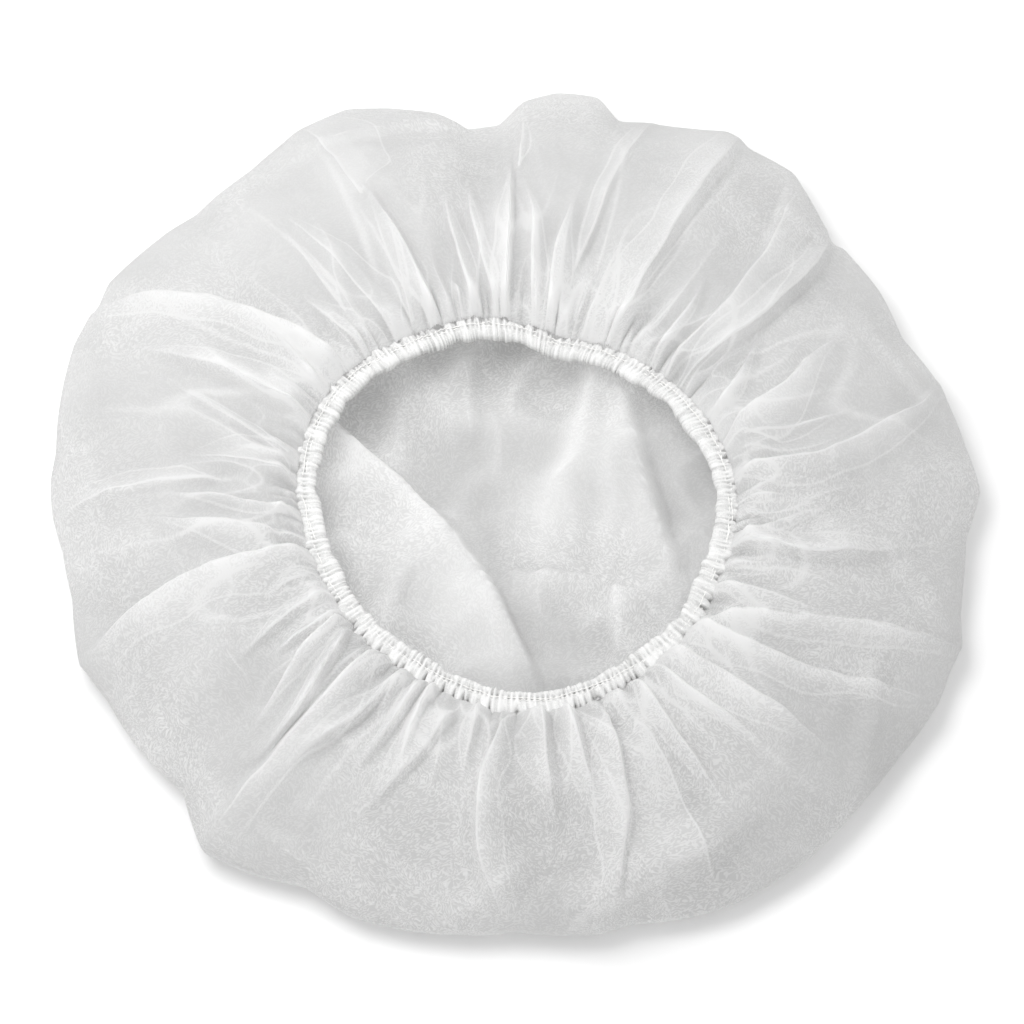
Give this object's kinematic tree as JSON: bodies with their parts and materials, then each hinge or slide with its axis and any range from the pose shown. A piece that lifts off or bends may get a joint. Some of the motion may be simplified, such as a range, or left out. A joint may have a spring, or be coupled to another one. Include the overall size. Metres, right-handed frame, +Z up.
{
  "type": "disposable hair cover cap",
  "caption": "Round one-piece bouffant cap of thin non-woven cloth, gathered by an elastic hem, lying flat with its opening up.",
  "frame": {"origin": "on the table, under the middle of the box round the outline", "axes": "+Z up out of the opening, +X to the right and +Y to the back as the cap lies before the viewer"},
  "size_m": [0.3195, 0.327, 0.0387],
  "materials": {
    "spunbond_cloth": "matt, thin and translucent",
    "gathered_cloth": "matt, in several layers",
    "covered_elastic": "matt"
  },
  "bodies": {
    "root": {"crown": "spunbond_cloth", "hem_casing": "gathered_cloth", "elastic_band": "covered_elastic"}
  },
  "joints": []
}
